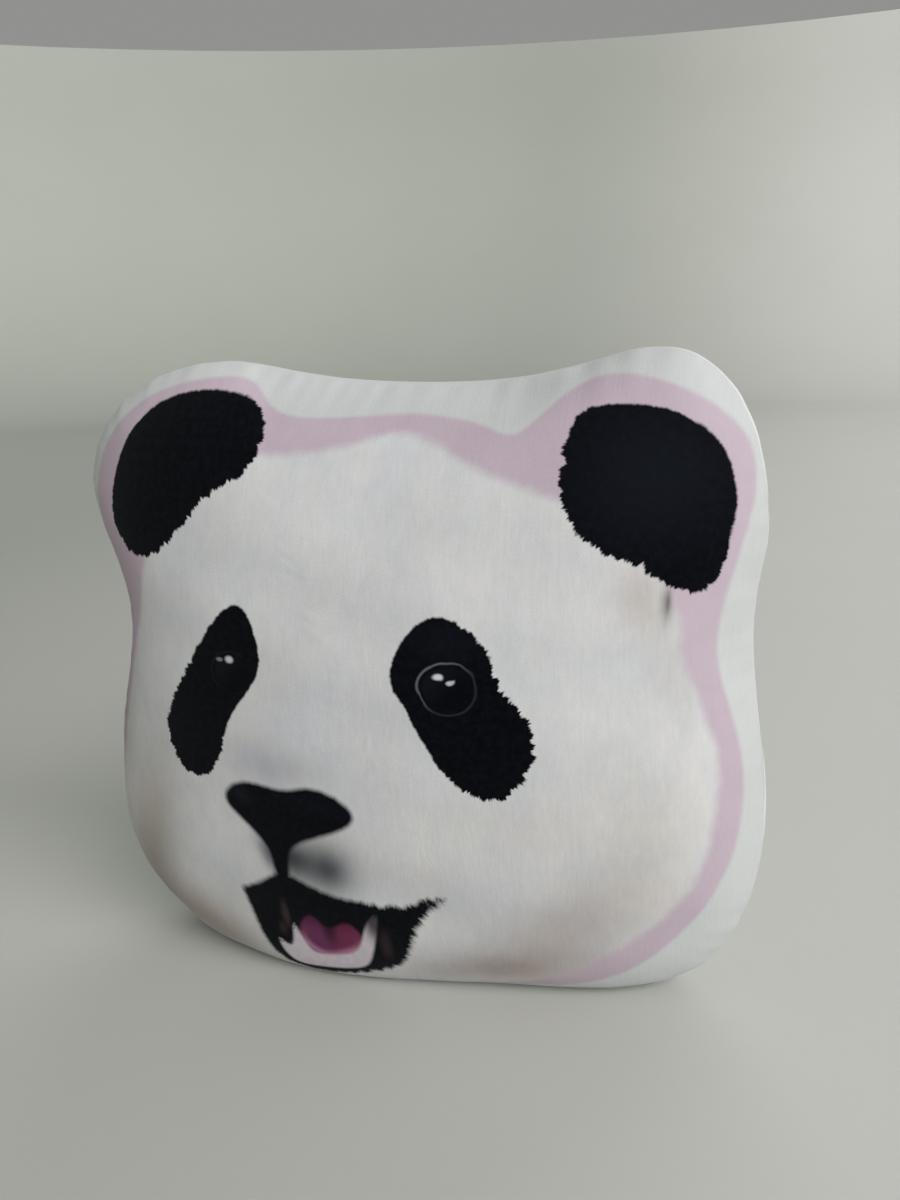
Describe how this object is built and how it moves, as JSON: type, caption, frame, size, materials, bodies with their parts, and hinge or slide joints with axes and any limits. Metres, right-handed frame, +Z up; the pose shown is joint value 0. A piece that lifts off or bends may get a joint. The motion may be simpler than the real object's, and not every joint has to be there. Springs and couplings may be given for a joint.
{
  "type": "shaped plush cushion",
  "caption": "Stuffed plush cushion in the outline of a panda's head, with a printed panda face, a pink band and a white border on its front and a plain back.",
  "frame": {"origin": "on the floor under the middle of the cushion, in the plane of its seam", "axes": "+Z is up as the cushion stands on the flattened bottom of its rim, the printed face looks towards -Y, and +X is to the right as seen from in front of the face"},
  "size_m": [0.3, 0.1146, 0.267],
  "materials": {
    "printed_plush": "matte",
    "plain_plush": "matte",
    "polyester_fibre": "matte",
    "sewing_thread": "satin",
    "label_ribbon": "satin"
  },
  "bodies": {
    "root": {"front_panel": "printed_plush", "back_panel": "plain_plush", "fibre_fill": "polyester_fibre", "seam_needle_thread": "sewing_thread", "seam_bobbin_thread": "sewing_thread", "closing_thread": "sewing_thread", "care_label": "label_ribbon"}
  },
  "joints": []
}
